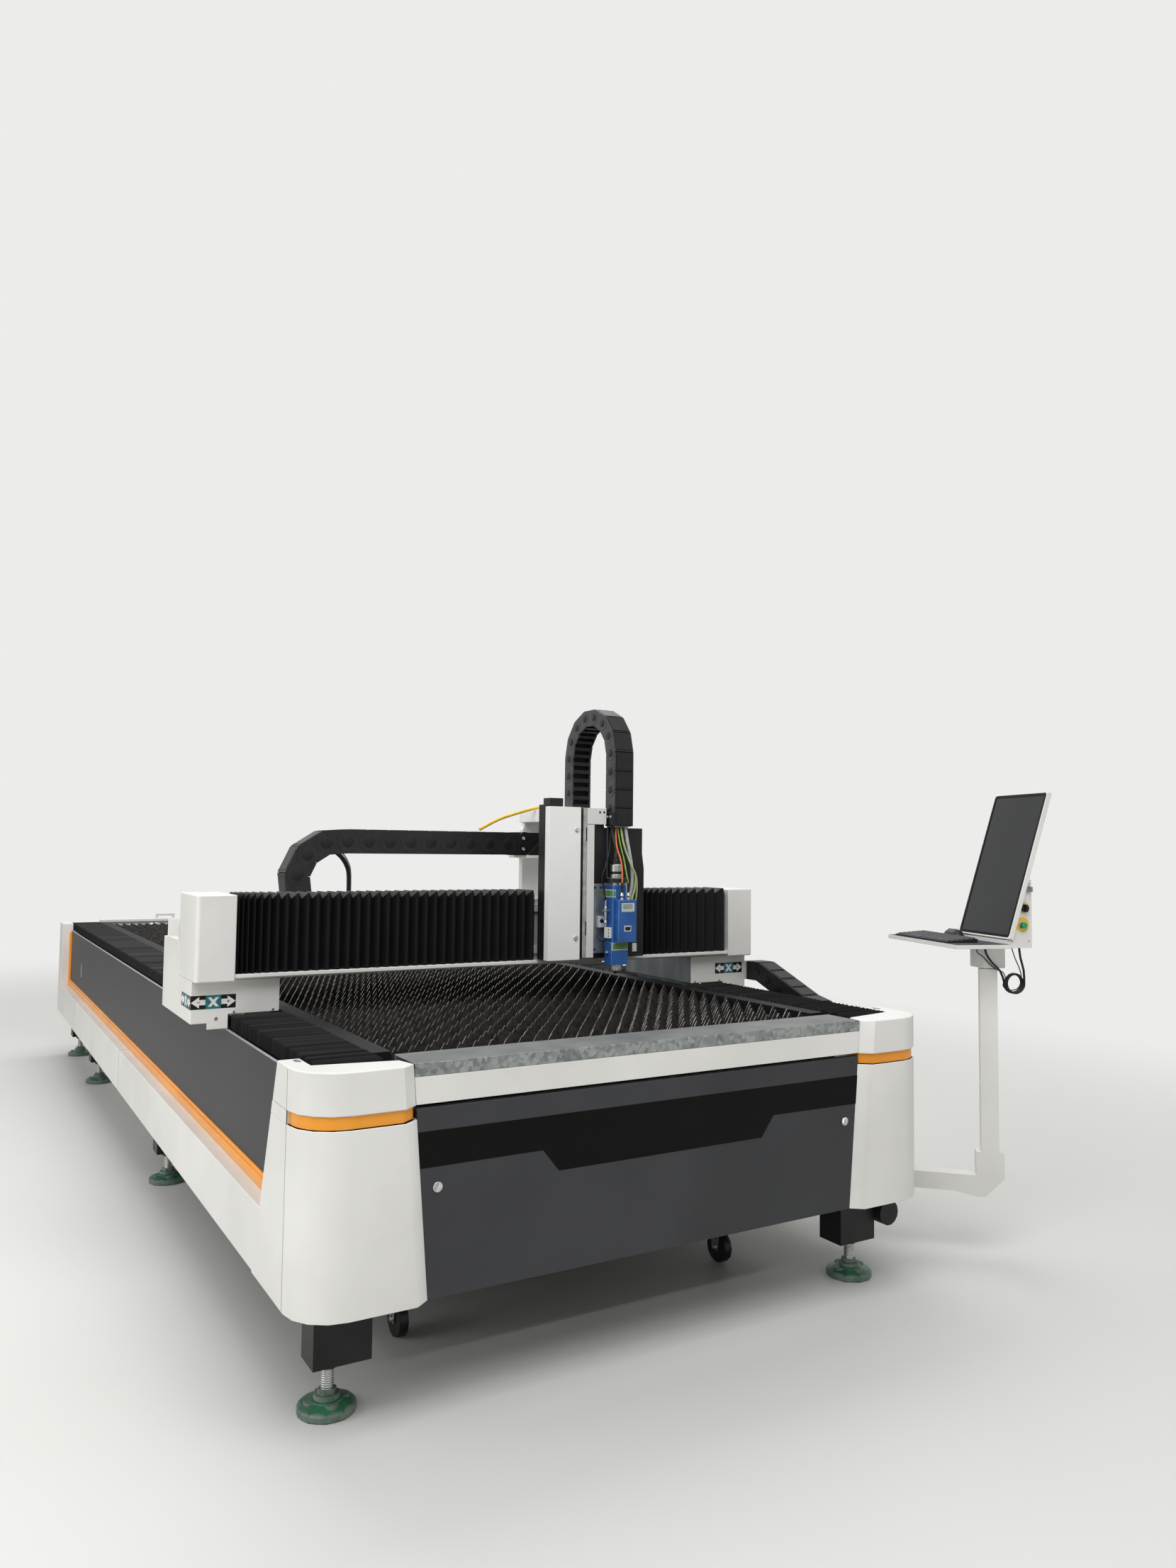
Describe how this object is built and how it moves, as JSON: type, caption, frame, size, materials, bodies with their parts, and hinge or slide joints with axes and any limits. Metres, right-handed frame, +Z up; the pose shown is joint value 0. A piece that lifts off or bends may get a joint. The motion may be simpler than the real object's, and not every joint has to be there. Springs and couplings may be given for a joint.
{
  "type": "fiber laser cutting machine",
  "caption": "Flatbed laser cutter with toothed slat bed, travelling gantry, cutting head on a lifting slide, energy chains and a swing-out control console.",
  "frame": {"origin": "on the floor under the centre of the whole machine's box", "axes": "+X to the right along the short front end, +Y back along the bed, +Z up"},
  "size_m": [2.9238, 6.0572, 2.064],
  "materials": {
    "bellows_black": "matt",
    "black_steel": "satin",
    "bright_steel": "bright",
    "chain_plastic": "satin",
    "charcoal_enamel": "satin",
    "cut_slat_steel": "dull",
    "galvanised_steel": "spangled",
    "head_blue": "satin",
    "orange_enamel": "semi-gloss",
    "side_grey": "satin",
    "white_enamel": "semi-gloss"
  },
  "bodies": {
    "gantry": {"beam_bellows_left": "bellows_black", "beam_bellows_right": "bellows_black", "beam_chain": "chain_plastic", "beam_chain_tray": "white_enamel", "gantry_beam": "white_enamel", "gantry_box_left": "white_enamel", "gantry_box_right": "white_enamel", "gantry_cover_left": "white_enamel", "gantry_cover_right": "white_enamel"},
    "bed": {"bed_chain": "chain_plastic", "bed_chain_tray": "black_steel", "bellows_front_left": "bellows_black", "bellows_front_right": "bellows_black", "bellows_rear_left": "bellows_black", "bellows_rear_right": "bellows_black", "corner_band_left": "orange_enamel", "corner_band_right": "orange_enamel", "corner_cap_left": "white_enamel", "corner_cap_right": "white_enamel", "corner_cover_left": "white_enamel", "corner_cover_right": "white_enamel", "cross_beam": "black_steel", "frame_left": "black_steel", "frame_right": "black_steel", "front_band": "white_enamel", "front_door": "charcoal_enamel", "front_strip": "galvanised_steel", "rear_wall": "white_enamel", "scrap_cart": "black_steel", "side_panel_left": "side_grey", "side_panel_right": "side_grey", "side_skirt_left": "white_enamel", "side_skirt_right": "white_enamel", "side_trim_left": "orange_enamel", "side_trim_right": "orange_enamel", "slat_rack_front": "cut_slat_steel", "slat_rack_rear": "cut_slat_steel"},
    "head_carriage": {"carriage_plate": "black_steel", "chain_arm": "white_enamel", "fibre_cable": "orange_enamel", "z_chain": "chain_plastic", "z_cover": "white_enamel"},
    "console": {"console_cables": "chain_plastic", "console_case": "white_enamel", "keyboard": "chain_plastic", "keyboard_table": "white_enamel", "monitor": "charcoal_enamel", "mouse": "chain_plastic"},
    "console_arm": {"console_stand": "white_enamel"},
    "z_slide": {"cutting_head": "head_blue", "head_hoses": "chain_plastic", "nozzle": "bright_steel", "slide_plate": "side_grey"},
    "door_lock_left_part": {"door_lock_left": "bright_steel"},
    "door_lock_right_part": {"door_lock_right": "bright_steel"},
    "key_switch_part": {"key_switch": "chain_plastic"},
    "selector_knob_part": {"selector_knob": "chain_plastic"},
    "start_button_part": {"start_button": "head_blue"},
    "z_lock_lower_part": {"z_lock_lower": "bright_steel"},
    "z_lock_upper_part": {"z_lock_upper": "bright_steel"}
  },
  "joints": [
    {"name": "gantry_travel", "type": "slide", "parent": "bed", "child": "gantry", "axis": [0, 1, 0], "range_m": [-0.62, 3.38], "deforming": ["bellows_front_left", "bellows_front_right", "bellows_rear_left", "bellows_rear_right", "bed_chain"]},
    {"name": "head_travel", "type": "slide", "parent": "gantry", "child": "head_carriage", "axis": [1, 0, 0], "range_m": [-1.04, 0.41], "deforming": ["beam_bellows_left", "beam_bellows_right", "beam_chain"]},
    {"name": "z_travel", "type": "slide", "parent": "head_carriage", "child": "z_slide", "axis": [0, 0, 1], "range_m": [-0.07, 0.05], "deforming": ["z_chain"]},
    {"name": "console_arm_swing", "type": "hinge", "parent": "bed", "child": "console_arm", "pos_m": [0.67512, -2.23736, 0.23], "axis": [0, 0, 1], "range_deg": [-15, 65]},
    {"name": "console_swivel", "type": "hinge", "parent": "console_arm", "child": "console", "pos_m": [1.25012, -2.81736, 1.065], "axis": [0, 0, 1], "range_deg": [-60, 60]},
    {"name": "start_press", "type": "slide", "parent": "console", "child": "start_button_part", "axis": [0.309, 0.9511, 0], "range_m": [0, 0.004], "stiffness_N_per_m": 400},
    {"name": "selector_turn", "type": "hinge", "parent": "console", "child": "selector_knob_part", "pos_m": [1.25168, -2.98084, 1.296], "axis": [-0.309, -0.9511, 0], "range_deg": [-45, 45]},
    {"name": "key_turn", "type": "hinge", "parent": "console", "child": "key_switch_part", "pos_m": [1.2669, -2.98578, 1.366], "axis": [-0.309, -0.9511, 0], "range_deg": [0, 90]},
    {"name": "door_lock_left_turn", "type": "hinge", "parent": "bed", "child": "door_lock_left_part", "pos_m": [-1.03188, -2.90736, 0.604], "axis": [0, 1, 0], "range_deg": [0, 90]},
    {"name": "door_lock_right_turn", "type": "hinge", "parent": "bed", "child": "door_lock_right_part", "pos_m": [0.42212, -2.90736, 0.604], "axis": [0, 1, 0], "range_deg": [-90, 0]},
    {"name": "z_lock_upper_turn", "type": "hinge", "parent": "head_carriage", "child": "z_lock_upper_part", "pos_m": [-0.08288, -1.99236, 1.569], "axis": [0, 1, 0], "range_deg": [0, 90]},
    {"name": "z_lock_lower_turn", "type": "hinge", "parent": "head_carriage", "child": "z_lock_lower_part", "pos_m": [-0.08288, -1.99236, 1.155], "axis": [0, 1, 0], "range_deg": [0, 90]}
  ]
}
